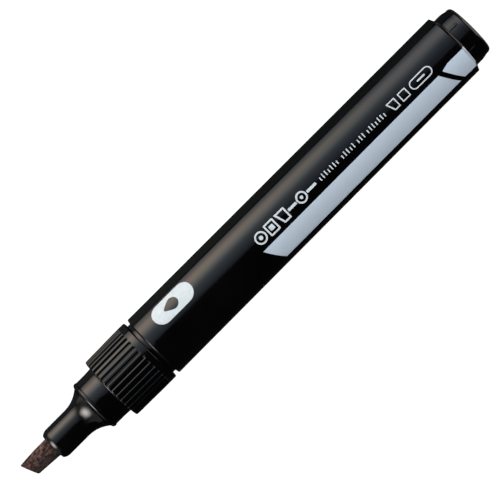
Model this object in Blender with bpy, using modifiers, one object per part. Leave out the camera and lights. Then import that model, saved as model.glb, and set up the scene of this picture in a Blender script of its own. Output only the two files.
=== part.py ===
"""Chisel-nib permanent marker, uncapped, lying on its side.

The nib points to -X, the tail to +X, and +Z is up. The origin is on the ground under the
middle of the marker. Each piece is a separate object whose origin is on the marker's axis.

Along the marker, a "station" is the distance in metres from the point of the nib.
"""

import math

import bmesh
import bpy
from mathutils import Matrix

MM = 0.001

# Driving dimensions
LENGTH = 138.1 * MM            # nib point to end of tail plug
RIB_RADIUS = 8.2 * MM          # crests of the grip ribs, the widest place
BARREL_FRONT_RADIUS = 8.1 * MM
BARREL_TAIL_RADIUS = 7.92 * MM
LIP_RADIUS = 6.75 * MM         # where the tail lip meets the plug
SHOULDER_RADIUS = 7.1 * MM     # step between head and barrel
COLLAR_RADIUS = 6.3 * MM       # sealing collar that a cap slides over
BEAD_RADIUS = 6.45 * MM        # snap bead on the collar's front edge
NOSE_RADIUS = 3.84 * MM
FLARE_RADIUS = 5.55 * MM       # rear edge of the nib holder's flare
PLUG_RADIUS = 6.64 * MM
END_FLAT_RADIUS = 3.6 * MM     # flat middle of the plug's end
NIB_WIDTH = 4.9 * MM
NIB_THICKNESS = 3.1 * MM
NIB_TIP_THICKNESS = 2.2 * MM
WEDGE_LENGTH = 4.5 * MM        # the nib thins over this length
NIB_OBLIQUE = 1.6 * MM         # how far the writing edge slants back
NIB_TAIL_WIDTH = 1.8 * MM
NIB_TAPER = 4.0 * MM           # length of the tapered tail
BORE_RADIUS = 6.4 * MM         # inside of the barrel
NECK_BORE_RADIUS = 5.2 * MM    # inside of the barrel's threaded neck
SLEEVE_RADIUS = 5.2 * MM       # nib holder's push fit in the head
GUIDE_RADIUS = 3.5 * MM        # nib holder's rear tube

# Stations, from the nib's point
NOSE_FRONT = 8.0 * MM
FLARE_START = 15.0 * MM
FLARE_END = 20.2 * MM
HEAD_FRONT = 20.3 * MM
BEAD_CENTRE = 21.1 * MM
RING_FRONT = 26.07 * MM        # flat face that a cap's mouth stops against
SLEEVE_REAR = 26.6 * MM
GASKET_SEAT = 27.6 * MM        # shoulder inside the head
NECK_FRONT = 28.9 * MM
HOLDER_REAR = 36.0 * MM
RIBS_END = 36.5 * MM
RING_REAR = 38.2 * MM
BARREL_FRONT = 39.2 * MM
TAPER_FRONT = 46.0 * MM
TAPER_REAR = 120.0 * MM
PLUG_FRONT = 127.0 * MM
LIP_FRONT = 132.85 * MM
LIP_REAR = 133.5 * MM
BARREL_REAR = 133.65 * MM

# Grip ribs and posting ribs
GRIP_RIBS = 34
GRIP_RIB_TURN = math.radians(-1.3)
GROOVE_WIDTH = 0.42 * MM
GROOVE_DEPTH = 0.5 * MM
POSTING_RIBS = 6
POSTING_RIB_WIDTH = 0.9 * MM
POSTING_RIB_HEIGHT = 0.13 * MM
POSTING_RIB_LENGTH = 2.1 * MM
POSTING_RIB_ANGLE = math.radians(26.3)

# Screw thread between head and barrel, right-handed
THREAD_PITCH = 2.5 * MM
THREAD_TURNS = 2
THREAD_DEPTH = 0.45 * MM
THREAD_CREST = 0.6 * MM
THREAD_BASE = 1.2 * MM
NECK_RADIUS = 6.35 * MM
SKIRT_BORE_RADIUS = 6.95 * MM
THREAD_FRONT = 29.7 * MM

# Ink store
RESERVOIR_RADIUS = 5.8 * MM
RESERVOIR_FRONT = 42.0 * MM
RESERVOIR_REAR = 125.5 * MM
WRAP_THICKNESS = 0.15 * MM
NIB_TAIL = 47.0 * MM

EDGE = 0.4 * MM                # chamfer on the barrel's front edge
SMALL_EDGE = 0.15 * MM
WALL = 1.0 * MM                # tail plug's wall
WEB_THICKNESS = 0.8 * MM       # cross web inside the tail plug
CLEARANCE = 0.1 * MM
EMBED = 0.1 * MM               # overlap that a Boolean join needs
MERGE = 1e-6
COARSE = 32                    # sides of a hidden round piece
ROUND = 48                     # sides of a visible round piece
RING_SIDES = 2 * GRIP_RIBS     # sides of the head, two to each rib


def clear_scene():
    for leftover in list(bpy.data.objects):
        bpy.data.objects.remove(leftover, do_unlink=True)


def new_collection(name):
    collection = bpy.data.collections.new(name)
    bpy.context.scene.collection.children.link(collection)
    return collection


def plastic(name, colour, roughness):
    """A Principled material for a moulded or felt piece."""
    material = bpy.data.materials.new(name)
    material.use_nodes = True
    shader = material.node_tree.nodes["Principled BSDF"]
    shader.inputs["Base Color"].default_value = (*colour, 1.0)
    shader.inputs["Roughness"].default_value = roughness
    shader.inputs["Metallic"].default_value = 0.0
    return material


def height(station):
    """Local Z of a station: a piece's own +Z points to the nib."""
    return LENGTH / 2 - station


def lay_down(piece):
    """Put a piece's own Z axis along the marker, at the height where the ribs touch the ground."""
    piece.location = (0, 0, RIB_RADIUS)
    piece.rotation_euler = (0, -math.pi / 2, 0)


def mesh_object(name, mesh, collection, material=None):
    piece = bpy.data.objects.new(name, mesh)
    collection.objects.link(piece)
    if material:
        mesh.materials.append(material)
    return piece


def turned(name, outline, collection, material=None, sides=ROUND, start=0.0):
    """A piece turned on the marker's axis. outline lists (radius, station), nib to tail outside,
    then tail to nib inside. It closes on itself, and a side that lies on the axis is left out.
    The first corner of each ring is at the angle start."""
    points = [(radius * math.cos(start), radius * math.sin(start), height(station))
              for radius, station in outline]
    pairs = [(i, (i + 1) % len(points)) for i in range(len(points))]
    edges = [(a, b) for a, b in pairs if outline[a][0] > 0 or outline[b][0] > 0]
    mesh = bpy.data.meshes.new(name)
    mesh.from_pydata(points, edges, [])
    piece = mesh_object(name, mesh, collection, material)
    screw = piece.modifiers.new("turn", "SCREW")
    screw.axis = "Z"
    screw.steps = sides
    screw.render_steps = sides
    screw.use_merge_vertices = True
    screw.merge_threshold = MERGE
    screw.use_smooth_shade = True
    lay_down(piece)
    return piece


def arc(centre_radius, centre_station, size, start_deg, end_deg, steps):
    """Points (radius, station) on a circle; 0 degrees points outwards and 90 to the nib."""
    points = []
    for i in range(steps + 1):
        angle = math.radians(start_deg + (end_deg - start_deg) * i / steps)
        points.append((centre_radius + size * math.cos(angle), centre_station - size * math.sin(angle)))
    return points


def evaluated_copy(source, name, collection):
    """The source's mesh with its modifiers applied, as a new object in the same place."""
    bpy.context.view_layer.update()
    graph = bpy.context.evaluated_depsgraph_get()
    mesh = bpy.data.meshes.new_from_object(source.evaluated_get(graph))
    mesh.name = name
    copy = mesh_object(name, mesh, collection)
    copy.matrix_world = source.matrix_world.copy()
    bpy.data.objects.remove(source, do_unlink=True)
    return copy


def hide_cutter(cutter):
    cutter.hide_render = True
    cutter.display_type = "WIRE"


def boolean(piece, cutter, operation):
    step = piece.modifiers.new(cutter.name, "BOOLEAN")
    step.operation = operation
    step.solver = "EXACT"
    step.object = cutter
    hide_cutter(cutter)


def blocks(name, collection, boxes):
    """One cutter made of boxes: each is (size, centre, turn about the axis), in a piece's own frame."""
    shape = bmesh.new()
    for size, centre, turn in boxes:
        place = Matrix.Rotation(turn, 4, "Z") @ Matrix.Translation(centre) @ Matrix.Diagonal((*size, 1))
        bmesh.ops.create_cube(shape, size=1, matrix=place)
    mesh = bpy.data.meshes.new(name)
    shape.to_mesh(mesh)
    shape.free()
    cutter = mesh_object(name, mesh, collection)
    lay_down(cutter)
    return cutter


def thread_ridge(name, collection, base_radius, crest_radius, front):
    """A helical ridge from base_radius to crest_radius whose front end is at a station."""
    rear = height(front) - THREAD_PITCH * THREAD_TURNS - THREAD_BASE
    flank = (THREAD_BASE - THREAD_CREST) / 2
    section = [
        (base_radius, 0, rear),
        (crest_radius, 0, rear + flank),
        (crest_radius, 0, rear + THREAD_BASE - flank),
        (base_radius, 0, rear + THREAD_BASE),
    ]
    mesh = bpy.data.meshes.new(name)
    mesh.from_pydata(section, [(0, 1), (1, 2), (2, 3), (3, 0)], [])
    profile = mesh_object(name, mesh, collection)
    screw = profile.modifiers.new("thread", "SCREW")
    screw.axis = "Z"
    screw.screw_offset = THREAD_PITCH
    screw.iterations = THREAD_TURNS
    screw.steps = ROUND
    screw.render_steps = ROUND
    screw.use_merge_vertices = False
    lay_down(profile)
    ridge = evaluated_copy(profile, name, collection)
    shape = bmesh.new()
    shape.from_mesh(ridge.data)
    bmesh.ops.holes_fill(shape, edges=shape.edges)
    bmesh.ops.recalc_face_normals(shape, faces=shape.faces)
    shape.to_mesh(ridge.data)
    shape.free()
    return ridge


def make_barrel(parts, cutters, black):
    """Tapering tube with a stepped, threaded neck in front and a slanted lip at the tail."""
    lip_round = 0.2 * MM
    neck_blend = BORE_RADIUS - NECK_BORE_RADIUS + EDGE
    outline = [
        (NECK_BORE_RADIUS, NECK_FRONT),
        (NECK_RADIUS, NECK_FRONT),
        (NECK_RADIUS, RING_REAR + CLEARANCE),
        (SHOULDER_RADIUS, RING_REAR + CLEARANCE),
        (SHOULDER_RADIUS, BARREL_FRONT),
        (BARREL_FRONT_RADIUS - EDGE, BARREL_FRONT),
        (BARREL_FRONT_RADIUS, BARREL_FRONT + EDGE),
        (BARREL_FRONT_RADIUS, TAPER_FRONT),
        (BARREL_TAIL_RADIUS, TAPER_REAR),
        (BARREL_TAIL_RADIUS, LIP_FRONT),
        (BARREL_TAIL_RADIUS - lip_round, LIP_FRONT + lip_round),
        (LIP_RADIUS, LIP_REAR),
        (LIP_RADIUS, BARREL_REAR),
        (BORE_RADIUS, BARREL_REAR),
        (BORE_RADIUS, BARREL_FRONT + neck_blend),
        (NECK_BORE_RADIUS, BARREL_FRONT + EDGE),
    ]
    barrel = turned("barrel", outline, parts, black)
    ridge = thread_ridge("neck_thread", cutters, NECK_RADIUS - EMBED, NECK_RADIUS + THREAD_DEPTH,
                         THREAD_FRONT)
    boolean(barrel, ridge, "UNION")


def make_screw_head(parts, cutters, black):
    """Sealing collar with a snap bead, and a ribbed skirt threaded inside."""
    bead = 0.7 * MM
    bore = SLEEVE_RADIUS + CLEARANCE
    fillet = 0.2 * MM
    taper_end = RIBS_END - 2 * MM
    outline = [
        (bore, HEAD_FRONT),
        (BEAD_RADIUS - bead, HEAD_FRONT),
        *arc(BEAD_RADIUS - bead, BEAD_CENTRE, bead, 70, -20, 4),
        (COLLAR_RADIUS, BEAD_CENTRE + bead),
        (COLLAR_RADIUS, RING_FRONT - 2 * MM),
        (COLLAR_RADIUS + fillet / 2, RING_FRONT - fillet),
        (COLLAR_RADIUS + fillet, RING_FRONT),
        (RIB_RADIUS - SMALL_EDGE - fillet / 2, RING_FRONT),
        (RIB_RADIUS - fillet / 2, RING_FRONT + SMALL_EDGE),
        (RIB_RADIUS, taper_end),
        (RIB_RADIUS, RING_REAR - SMALL_EDGE),
        (RIB_RADIUS - SMALL_EDGE, RING_REAR),
        (SKIRT_BORE_RADIUS, RING_REAR),
        (SKIRT_BORE_RADIUS, GASKET_SEAT),
        (bore, GASKET_SEAT),
    ]
    head = turned("screw_head", outline, parts, black, RING_SIDES, GRIP_RIB_TURN)
    pitch = 2 * math.pi / GRIP_RIBS
    overrun = 1 * MM
    groove_length = RIBS_END - RING_FRONT + overrun
    groove_middle = height(RIBS_END) + groove_length / 2
    groove = ((2 * overrun, GROOVE_WIDTH, groove_length),
              (RIB_RADIUS - GROOVE_DEPTH + overrun, 0, groove_middle))
    grooves = blocks("grip_grooves", cutters,
                     [(*groove, GRIP_RIB_TURN + i * pitch) for i in range(GRIP_RIBS)])
    ridge = thread_ridge("skirt_thread", cutters, SKIRT_BORE_RADIUS + EMBED,
                         SKIRT_BORE_RADIUS - THREAD_DEPTH - EMBED / 2, THREAD_FRONT + THREAD_PITCH / 2)
    boolean(head, grooves, "DIFFERENCE")
    boolean(head, ridge, "UNION")


def flare(steps):
    """Concave sweep from the nose up to the collar, as (radius, station)."""
    steepness = 2.6
    rise = FLARE_RADIUS - NOSE_RADIUS
    points = []
    for i in range(steps + 1):
        share = i / steps
        station = FLARE_START + (FLARE_END - FLARE_START) * share
        points.append((NOSE_RADIUS + rise * share ** steepness, station))
    return points


def make_nib_holder(parts, cutters, black):
    """Nose with a rounded mouth, a flare, a sleeve pressed into the head and a rear guide tube."""
    mouth_round = 0.75 * MM
    ledge = 0.1 * MM
    round_centre = NOSE_RADIUS - ledge - mouth_round
    outline = [
        (0, NOSE_FRONT),
        (round_centre, NOSE_FRONT),
        *arc(round_centre, NOSE_FRONT + mouth_round, mouth_round, 75, 10, 3),
        (NOSE_RADIUS, NOSE_FRONT + mouth_round + 4 * ledge),
        *flare(7),
        (SLEEVE_RADIUS, FLARE_END),
        (SLEEVE_RADIUS, SLEEVE_REAR),
        (GUIDE_RADIUS, SLEEVE_REAR + SLEEVE_RADIUS - GUIDE_RADIUS),
        (GUIDE_RADIUS, HOLDER_REAR),
        (0, HOLDER_REAR),
    ]
    holder = turned("nib_holder", outline, parts, black)
    room = 2 * CLEARANCE
    slot_size = (NIB_THICKNESS + room, NIB_WIDTH + room, 2 * HOLDER_REAR)
    slot = blocks("nib_slot", cutters, [(slot_size, (0, 0, height(HOLDER_REAR / 2)), 0)])
    boolean(holder, slot, "DIFFERENCE")


def make_nib(parts, felt):
    """Flat felt bar with an oblique writing end and a tapered tail, cut from one outline."""
    half = NIB_WIDTH / 2
    worn = 0.37 * MM
    corner = 0.2 * MM
    outline = [
        (0, half - worn),
        (NOSE_FRONT, half),
        (NIB_TAIL - NIB_TAPER, half),
        (NIB_TAIL, NIB_TAIL_WIDTH / 2),
        (NIB_TAIL, -NIB_TAIL_WIDTH / 2),
        (NIB_TAIL - NIB_TAPER, -half),
        (NOSE_FRONT, -half),
        (NIB_OBLIQUE + 3 * corner, corner - half + worn / 2),
        (NIB_OBLIQUE, 2 * corner - half + worn / 2),
    ]
    curve = bpy.data.curves.new("nib_outline", "CURVE")
    curve.dimensions = "2D"
    curve.fill_mode = "BOTH"
    curve.extrude = NIB_THICKNESS / 2
    curve.render_resolution_u = 0
    line = curve.splines.new("POLY")
    line.points.add(len(outline) - 1)
    for point, (station, across) in zip(line.points, outline):
        point.co = (station - LENGTH / 2, across, 0, 1)
    line.use_cyclic_u = True
    flat = bpy.data.objects.new("nib_outline", curve)
    parts.objects.link(flat)
    flat.location = (0, 0, RIB_RADIUS)
    nib = evaluated_copy(flat, "nib", parts)
    shape = bmesh.new()
    shape.from_mesh(nib.data)
    bmesh.ops.remove_doubles(shape, verts=shape.verts, dist=MERGE)
    wedge_start = WEDGE_LENGTH - LENGTH / 2
    bmesh.ops.bisect_plane(shape, geom=shape.verts[:] + shape.edges[:] + shape.faces[:],
                           plane_co=(wedge_start, 0, 0), plane_no=(1, 0, 0))
    for vert in shape.verts:
        share = max(0, (wedge_start - vert.co.x) / WEDGE_LENGTH)
        vert.co.z *= 1 - share * (1 - NIB_TIP_THICKNESS / NIB_THICKNESS)
    shape.to_mesh(nib.data)
    shape.free()
    nib.data.materials.clear()
    nib.data.materials.append(felt)


def make_reservoir(parts, fibre, film):
    """Fibre rod that holds the ink, in a film sleeve. Its pocket is round because the nib's tail
    turns in it when the head is unscrewed."""
    room = 2 * CLEARANCE
    pocket_mouth = math.hypot(NIB_WIDTH, NIB_THICKNESS) / 2 + room
    pocket_end = math.hypot(NIB_TAIL_WIDTH, NIB_THICKNESS) / 2 + room
    turned("ink_reservoir", [
        (0, NIB_TAIL + room),
        (pocket_end, NIB_TAIL + room),
        (pocket_mouth, NIB_TAIL - NIB_TAPER + room),
        (pocket_mouth, RESERVOIR_FRONT),
        (RESERVOIR_RADIUS, RESERVOIR_FRONT),
        (RESERVOIR_RADIUS, RESERVOIR_REAR),
        (0, RESERVOIR_REAR),
    ], parts, fibre, COARSE)
    inside = RESERVOIR_RADIUS + CLEARANCE
    turned("reservoir_wrap", [
        (inside, RESERVOIR_FRONT),
        (inside + WRAP_THICKNESS, RESERVOIR_FRONT),
        (inside + WRAP_THICKNESS, RESERVOIR_REAR),
        (inside, RESERVOIR_REAR),
    ], parts, film, COARSE)


def make_gasket(parts, rubber):
    """Flat ring that the barrel's neck squeezes against the shoulder inside the head."""
    front = GASKET_SEAT + CLEARANCE
    rear = NECK_FRONT - CLEARANCE
    inner = NECK_BORE_RADIUS + 2 * CLEARANCE
    outer = NECK_RADIUS + 2 * CLEARANCE
    turned("head_gasket", [(inner, front), (outer, front), (outer, rear), (inner, rear)],
           parts, rubber, COARSE)


def make_tail_plug(parts, cutters, black):
    """Closed plug pressed into the barrel, with posting ribs outside and a cross web inside."""
    spigot = BORE_RADIUS - CLEARANCE / 2
    shoulder = BARREL_REAR + CLEARANCE
    inside = spigot - WALL
    crown = 0.2 * MM
    outline = [
        (inside, PLUG_FRONT),
        (spigot, PLUG_FRONT),
        (spigot, shoulder),
        (PLUG_RADIUS, shoulder),
        (PLUG_RADIUS, LENGTH - 2.6 * MM),
        (PLUG_RADIUS - SMALL_EDGE, LENGTH - 1.6 * MM),
        *arc(PLUG_RADIUS - WALL - SMALL_EDGE, LENGTH - WALL - SMALL_EDGE, WALL - crown / 4, 10, -70, 4),
        (END_FLAT_RADIUS, LENGTH),
        (0, LENGTH),
        (0, LENGTH - WALL - 2 * crown),
        (inside, LENGTH - WALL - 4 * crown),
    ]
    plug = turned("tail_plug", outline, parts, black)
    embedded = 3 * EMBED
    rib_size = (POSTING_RIB_HEIGHT + embedded, POSTING_RIB_WIDTH, POSTING_RIB_LENGTH)
    rib_middle = height(shoulder + POSTING_RIB_LENGTH / 2)
    rib_centre = (PLUG_RADIUS + POSTING_RIB_HEIGHT - rib_size[0] / 2, 0, rib_middle)
    pitch = 2 * math.pi / POSTING_RIBS
    ribs = blocks("posting_ribs", cutters,
                  [(rib_size, rib_centre, POSTING_RIB_ANGLE + i * pitch) for i in range(POSTING_RIBS)])
    web_front = PLUG_FRONT + EDGE
    web_length = LENGTH - WALL - crown - web_front
    web_middle = height(web_front + web_length / 2)
    web_size = (2 * inside + WALL, WEB_THICKNESS, web_length)
    webs = [blocks(f"cross_web_{i}", cutters, [(web_size, (0, 0, web_middle), i * math.pi / 2)])
            for i in range(2)]
    boolean(plug, ribs, "UNION")
    for web in webs:
        boolean(plug, web, "UNION")


def main():
    clear_scene()
    parts = new_collection("chisel_marker")
    cutters = new_collection("cutters")
    black = plastic("black_plastic", (0.012, 0.012, 0.014), 0.22)
    felt = plastic("nib_felt", (0.12, 0.075, 0.06), 0.95)
    fibre = plastic("ink_fibre", (0.02, 0.02, 0.025), 0.9)
    film = plastic("clear_film", (0.75, 0.76, 0.78), 0.3)
    rubber = plastic("gasket_rubber", (0.05, 0.05, 0.05), 0.7)
    make_barrel(parts, cutters, black)
    make_screw_head(parts, cutters, black)
    make_nib_holder(parts, cutters, black)
    make_nib(parts, felt)
    make_reservoir(parts, fibre, film)
    make_gasket(parts, rubber)
    make_tail_plug(parts, cutters, black)


main()
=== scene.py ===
"""Looks of the chisel-nib marker: fine mouldings, felt nib, barrel print, materials, studio, camera.

The marker lies along X with its nib towards -X. A "station" is the distance along it from the
nib's point, and an angle round it is measured from its top line, positive towards +Y.
"""

import math

import bmesh
import bpy
from mathutils import Matrix, Vector, noise


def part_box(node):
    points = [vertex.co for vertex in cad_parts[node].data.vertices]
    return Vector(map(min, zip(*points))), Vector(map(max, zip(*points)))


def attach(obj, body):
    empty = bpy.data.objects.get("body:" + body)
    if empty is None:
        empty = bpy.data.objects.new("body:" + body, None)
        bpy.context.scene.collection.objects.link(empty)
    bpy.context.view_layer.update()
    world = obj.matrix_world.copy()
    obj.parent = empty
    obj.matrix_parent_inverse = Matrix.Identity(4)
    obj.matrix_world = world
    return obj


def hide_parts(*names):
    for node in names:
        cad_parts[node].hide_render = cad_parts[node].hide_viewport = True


MM = 0.001

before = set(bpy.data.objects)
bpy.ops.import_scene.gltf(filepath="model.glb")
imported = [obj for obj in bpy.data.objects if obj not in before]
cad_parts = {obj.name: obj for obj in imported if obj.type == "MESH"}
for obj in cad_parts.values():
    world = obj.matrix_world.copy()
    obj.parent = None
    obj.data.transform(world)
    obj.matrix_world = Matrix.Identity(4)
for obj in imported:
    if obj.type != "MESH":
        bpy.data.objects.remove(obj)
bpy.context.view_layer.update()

# Places taken from the frame
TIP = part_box("nib")[0].x
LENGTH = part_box("tail_plug")[1].x - TIP
AXIS_Z = (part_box("barrel")[0].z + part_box("barrel")[1].z) / 2
NOSE_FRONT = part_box("nib_holder")[0].x - TIP
HOLDER_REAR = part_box("nib_holder")[1].x - TIP
HEAD_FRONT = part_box("screw_head")[0].x - TIP
RING_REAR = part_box("screw_head")[1].x - TIP
NECK_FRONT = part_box("barrel")[0].x - TIP
BARREL_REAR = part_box("barrel")[1].x - TIP
NIB_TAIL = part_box("nib")[1].x - TIP
PLUG_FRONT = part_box("tail_plug")[0].x - TIP
GASKET_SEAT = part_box("head_gasket")[0].x - TIP - 0.1 * MM
NIB_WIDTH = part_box("nib")[1].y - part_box("nib")[0].y
NIB_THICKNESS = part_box("nib")[1].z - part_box("nib")[0].z
RIB_RADIUS = AXIS_Z

# Stations and radii that the frame's boxes don't give
FLARE_START = 15.0 * MM
FLARE_END = HEAD_FRONT - 0.1 * MM
BEAD_CENTRE = HEAD_FRONT + 0.8 * MM
RING_FRONT = 26.07 * MM
RIBS_END = RING_REAR - 1.7 * MM
BARREL_FRONT = RING_REAR + 1.0 * MM
TAPER_FRONT = 46.0 * MM
TAPER_REAR = 120.0 * MM
LIP_FRONT = BARREL_REAR - 0.8 * MM
LIP_FILLET = 0.5 * MM
LIP_SLOPE = 2.2
NOSE_RADIUS = 3.84 * MM
FLARE_RADIUS = 5.55 * MM
COLLAR_RADIUS = 6.3 * MM
SLEEVE_RADIUS = 5.2 * MM
SHOULDER_RADIUS = 7.1 * MM
BARREL_FRONT_RADIUS = 8.07 * MM
BARREL_TAIL_RADIUS = 7.92 * MM
LIP_RADIUS = 6.75 * MM
PLUG_RADIUS = 6.64 * MM
BORE_RADIUS = 6.4 * MM
NECK_BORE_RADIUS = 5.2 * MM
NECK_RADIUS = 6.35 * MM
SKIRT_BORE_RADIUS = 6.95 * MM

# Ribs and thread
GRIP_RIBS = 34
GRIP_RIB_TURN = math.radians(-1.3)
GROOVE_DEPTH = 0.45 * MM
GROOVE_HALF_WIDTH = 0.17 * MM
RIB_ROUNDING = 0.4 * MM
POSTING_RIBS = 6
POSTING_RIB_WIDTH = 0.9 * MM
POSTING_RIB_HEIGHT = 0.13 * MM
POSTING_RIB_LENGTH = 2.4 * MM
POSTING_RIB_RUN_OUT = 1.4 * MM  # length of the slope at its rear end
POSTING_RIB_ANGLE = math.radians(26.3)
THREAD_PITCH = 2.5 * MM
THREAD_TURNS = 2
THREAD_DEPTH = 0.45 * MM
THREAD_CREST = 0.6 * MM
THREAD_BASE = 1.2 * MM
THREAD_FRONT = 29.7 * MM

# Nib
NIB_POINT_UPPER = 2.16 * MM    # how far the writing end reaches from the axis towards +Y
NIB_POINT_LOWER = 2.02 * MM    # and towards -Y
NIB_OBLIQUE = 1.68 * MM
NIB_TIP_THICKNESS = 2.2 * MM
WEDGE_LENGTH = 4.5 * MM
NIB_TAPER = 4.0 * MM
NIB_TAIL_HALF = 0.9 * MM

ROUND = 192                    # sides of a turned piece
THREAD_ROUND = 96
EMBED = 0.1 * MM               # overlap that a Boolean join needs

FULL_STRENGTH = 6.0            # what a colour of 1 on a curved panel stands for
END_SHARE = 0.08               # how much of it is left at the ends of a panel that dims there

# Print on the barrel, in mm: (station, distance round from the top line, positive towards -Y)
PRINT_RADIUS = 8.0
PRINT_LIFT = 0.015 * MM
PRINT_SINK = 0.02 * MM
CUT_ALONG = 5.0                # spacing of the cuts that let the print bend with the barrel
CUT_ROUND = 0.4
CUT_LIP = 0.06


# Shaping

def place(station, radius, angle):
    """World position of a point of the marker."""
    return Vector((TIP + station, radius * math.sin(angle), AXIS_Z + radius * math.cos(angle)))


def finish_mesh(shape, name, material=None):
    """Turn a bmesh into an object with outward faces."""
    bmesh.ops.recalc_face_normals(shape, faces=shape.faces)
    mesh = bpy.data.meshes.new(name)
    shape.to_mesh(mesh)
    shape.free()
    piece = bpy.data.objects.new(name, mesh)
    bpy.context.scene.collection.objects.link(piece)
    if material:
        mesh.materials.append(material)
    return piece


def smooth(piece, sharp_deg=40):
    piece.data.shade_smooth()
    piece.data.set_sharp_from_angle(angle=math.radians(sharp_deg))


def skin(shape, rings, closed=False):
    """Faces between neighbouring rings of vertices. A ring of one vertex is a pole."""
    pairs = list(zip(rings, rings[1:]))
    if closed:
        pairs.append((rings[-1], rings[0]))
    for a, b in pairs:
        count = max(len(a), len(b))
        for i in range(count):
            j = (i + 1) % count
            corners = [a[i % len(a)], b[i % len(b)], b[j % len(b)], a[j % len(a)]]
            corners = list(dict.fromkeys(corners))
            if len(corners) > 2:
                shape.faces.new(corners)


def turned(name, outline, material, sides=ROUND):
    """A closed turned piece. outline lists (radius, station) nib to tail outside, then back inside."""
    shape = bmesh.new()
    rings = []
    for radius, station in outline:
        count = sides if radius > 0 else 1
        rings.append([shape.verts.new(place(station, radius, 2 * math.pi * i / sides))
                      for i in range(count)])
    ends_on_axis = outline[0][0] == 0 and outline[-1][0] == 0
    skin(shape, rings, closed=not ends_on_axis)
    return finish_mesh(shape, name, material)


def arc(centre_radius, centre_station, size, start_deg, end_deg, steps=6):
    """Points (radius, station) on a circle; 0 degrees points outwards and 90 to the nib."""
    points = []
    for i in range(steps + 1):
        angle = math.radians(start_deg + (end_deg - start_deg) * i / steps)
        points.append((centre_radius + size * math.cos(angle), centre_station - size * math.sin(angle)))
    return points


def combine(piece, others, operation="UNION"):
    """Join other objects into a piece, or cut them out of it, and remove them."""
    for other in others:
        step = piece.modifiers.new(other.name, "BOOLEAN")
        step.operation = operation
        step.solver = "EXACT"
        step.object = other
    bpy.context.view_layer.update()
    graph = bpy.context.evaluated_depsgraph_get()
    mesh = bpy.data.meshes.new_from_object(piece.evaluated_get(graph))
    piece.modifiers.clear()
    piece.data = mesh
    for other in others:
        bpy.data.objects.remove(other, do_unlink=True)


def thread_ridge(base_radius, crest_radius, front):
    """Right-handed helical ridge that starts at a station."""
    flank = (THREAD_BASE - THREAD_CREST) / 2
    section = [(base_radius, 0), (crest_radius, flank), (crest_radius, THREAD_BASE - flank),
               (base_radius, THREAD_BASE)]
    shape = bmesh.new()
    rings = []
    for i in range(THREAD_ROUND * THREAD_TURNS + 1):
        turn = -2 * math.pi * i / THREAD_ROUND
        ahead = front + THREAD_PITCH * i / THREAD_ROUND
        rings.append([shape.verts.new(place(ahead + along, radius, turn)) for radius, along in section])
    skin(shape, rings)
    shape.faces.new(rings[0])
    shape.faces.new(rings[-1])
    return finish_mesh(shape, "thread")


def bar(size, radius, station, turn, edge=0.0):
    """A bar with rounded edges, turned about the axis. size is radial, round and along."""
    radial, across, along = size
    shape = bmesh.new()
    bmesh.ops.create_cube(shape, size=1, matrix=Matrix.Diagonal((along, across, radial, 1)))
    if edge:
        bmesh.ops.bevel(shape, geom=shape.edges[:], offset=edge, segments=3, profile=0.5, affect="EDGES")
    lift = Matrix.Translation((0, 0, AXIS_Z))
    spin = Matrix.Rotation(-turn, 4, "X")
    move = Matrix.Translation((TIP + station, 0, radius))
    bmesh.ops.transform(shape, matrix=lift @ spin @ move, verts=shape.verts)
    return finish_mesh(shape, "bar")


# Mouldings

def barrel_radius(station):
    """The barrel's outside: a slight taper, then a cone and a fillet down to the tail lip."""
    if station <= LIP_FRONT:
        share = (station - TAPER_FRONT) / (TAPER_REAR - TAPER_FRONT)
        return BARREL_FRONT_RADIUS + (BARREL_TAIL_RADIUS - BARREL_FRONT_RADIUS) * min(1, max(0, share))
    behind = station - LIP_FRONT
    cone = (BARREL_TAIL_RADIUS - LIP_RADIUS) / LIP_SLOPE - LIP_FILLET / 2
    if behind < cone:
        return BARREL_TAIL_RADIUS - LIP_SLOPE * behind
    left = max(0, cone + LIP_FILLET - behind)
    return LIP_RADIUS + LIP_SLOPE * left ** 2 / (2 * LIP_FILLET)


def make_barrel(black):
    """Tapering tube with a threaded neck in front and a slanted lip at the tail."""
    edge = 0.3 * MM
    body = [TAPER_FRONT + (TAPER_REAR - TAPER_FRONT) * i / 6 for i in range(7)]
    lip = [LIP_FRONT + (BARREL_REAR - 0.03 * MM - LIP_FRONT) * i / 24 for i in range(25)]
    outline = [
        (NECK_BORE_RADIUS + EMBED, NECK_FRONT),
        (NECK_RADIUS - 0.15 * MM, NECK_FRONT),
        (NECK_RADIUS, NECK_FRONT + 0.15 * MM),
        (NECK_RADIUS, RING_REAR + 0.1 * MM),
        (SHOULDER_RADIUS - 0.08 * MM, RING_REAR + 0.1 * MM),
        (SHOULDER_RADIUS, RING_REAR + 0.18 * MM),
        (SHOULDER_RADIUS, BARREL_FRONT - 0.25 * MM),
        (SHOULDER_RADIUS + 0.07 * MM, BARREL_FRONT - 0.07 * MM),
        (SHOULDER_RADIUS + 0.25 * MM, BARREL_FRONT),
        *arc(BARREL_FRONT_RADIUS + 0.03 * MM - edge, BARREL_FRONT + edge, edge, 85, 5, 8),
        (BARREL_FRONT_RADIUS + 0.02 * MM, BARREL_FRONT + 2 * MM),
        *[(barrel_radius(station), station) for station in body + lip],
        (LIP_RADIUS - 0.03 * MM, BARREL_REAR),
        (BORE_RADIUS + 0.05 * MM, BARREL_REAR),
        (BORE_RADIUS, BARREL_REAR - 0.1 * MM),
        (BORE_RADIUS, BARREL_FRONT + 1.6 * MM),
        (NECK_BORE_RADIUS, BARREL_FRONT + 0.4 * MM),
        (NECK_BORE_RADIUS, NECK_FRONT + EMBED),
    ]
    barrel = turned("barrel_shell", outline, black)
    combine(barrel, [thread_ridge(NECK_RADIUS - EMBED, NECK_RADIUS + THREAD_DEPTH, THREAD_FRONT)])
    return barrel


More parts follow.
